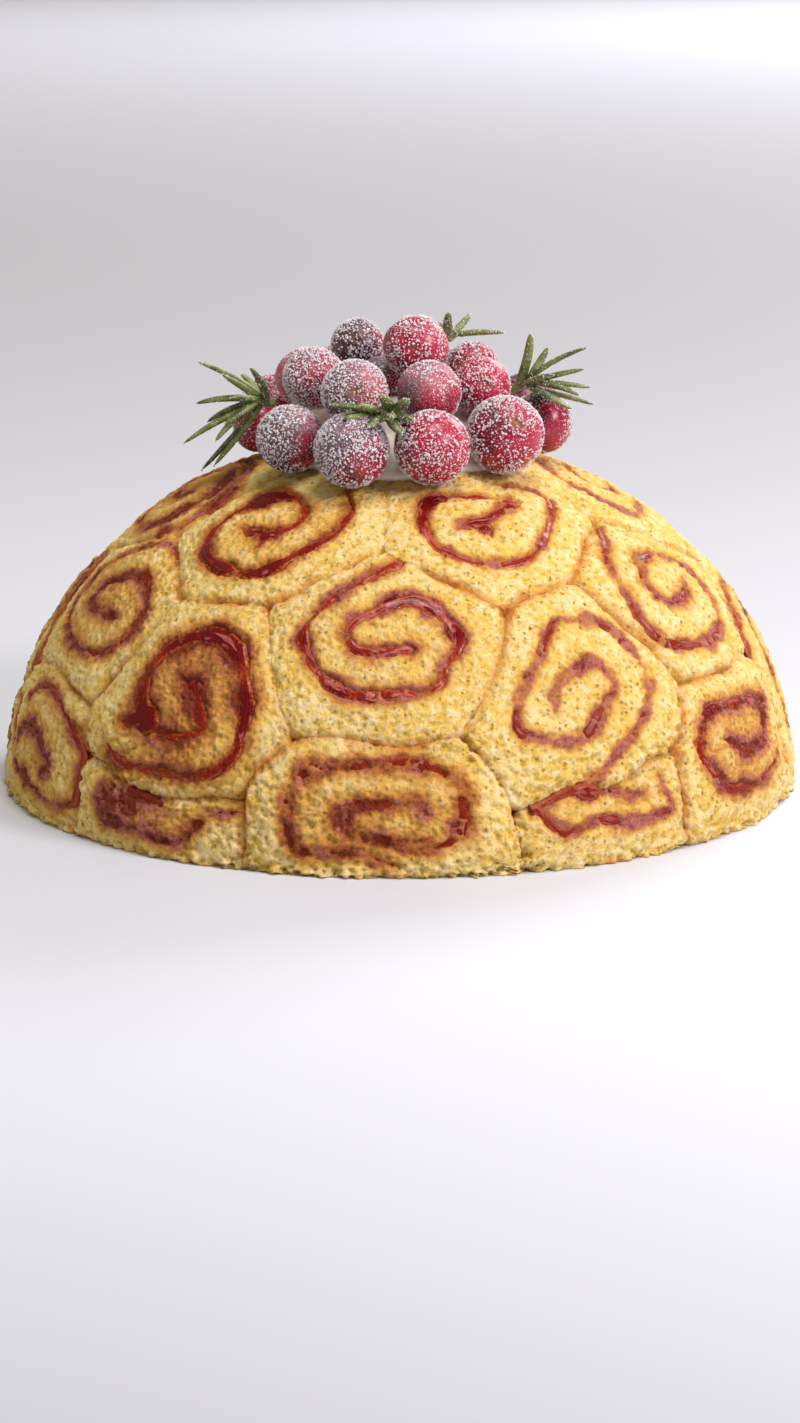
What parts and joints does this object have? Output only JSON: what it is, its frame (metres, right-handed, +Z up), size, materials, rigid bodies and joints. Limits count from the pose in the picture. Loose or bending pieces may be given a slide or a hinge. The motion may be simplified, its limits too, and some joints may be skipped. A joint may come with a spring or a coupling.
{
  "type": "charlotte royale cake",
  "caption": "Dome cake of jam roll slices round a set filling, with cream, sugared cranberries and rosemary on top.",
  "frame": {"origin": "centre of the flat base, on the plate's surface", "axes": "+Z up through the top of the dome, -Y towards the shown side, +X to its right"},
  "size_m": [0.2047, 0.2046, 0.121],
  "materials": {
    "sponge": "matte golden sponge crumb with a jam spiral",
    "filling": "set vanilla filling, satin",
    "cream": "whipped cream, soft satin",
    "cranberry": "red to purple skin under sugar crystals",
    "rosemary": "matte green needles with a sugar frost"
  },
  "bodies": {
    "root": {"filling_core": "filling", "slice_top": "sponge", "slice_upper_1": "sponge", "slice_upper_2": "sponge", "slice_upper_3": "sponge", "slice_upper_4": "sponge", "slice_upper_5": "sponge", "slice_upper_6": "sponge", "slice_upper_7": "sponge", "slice_middle_1": "sponge", "slice_middle_2": "sponge", "slice_middle_3": "sponge", "slice_middle_4": "sponge", "slice_middle_5": "sponge", "slice_middle_6": "sponge", "slice_middle_7": "sponge", "slice_middle_8": "sponge", "slice_middle_9": "sponge", "slice_middle_10": "sponge", "slice_middle_11": "sponge", "slice_middle_12": "sponge", "slice_base_1": "sponge", "slice_base_2": "sponge", "slice_base_3": "sponge", "slice_base_4": "sponge", "slice_base_5": "sponge", "slice_base_6": "sponge", "slice_base_7": "sponge", "slice_base_8": "sponge", "slice_base_9": "sponge", "slice_base_10": "sponge", "cream": "cream", "cranberry_01": "cranberry", "cranberry_02": "cranberry", "cranberry_03": "cranberry", "cranberry_04": "cranberry", "cranberry_05": "cranberry", "cranberry_06": "cranberry", "cranberry_07": "cranberry", "cranberry_08": "cranberry", "cranberry_09": "cranberry", "cranberry_10": "cranberry", "cranberry_11": "cranberry", "cranberry_12": "cranberry", "cranberry_13": "cranberry", "cranberry_14": "cranberry", "cranberry_15": "cranberry", "cranberry_16": "cranberry", "cranberry_17": "cranberry", "cranberry_18": "cranberry", "cranberry_19": "cranberry", "cranberry_20": "cranberry", "cranberry_21": "cranberry", "cranberry_22": "cranberry", "cranberry_23": "cranberry", "rosemary_left": "rosemary", "rosemary_right": "rosemary", "rosemary_back": "rosemary", "rosemary_front": "rosemary"}
  },
  "joints": []
}
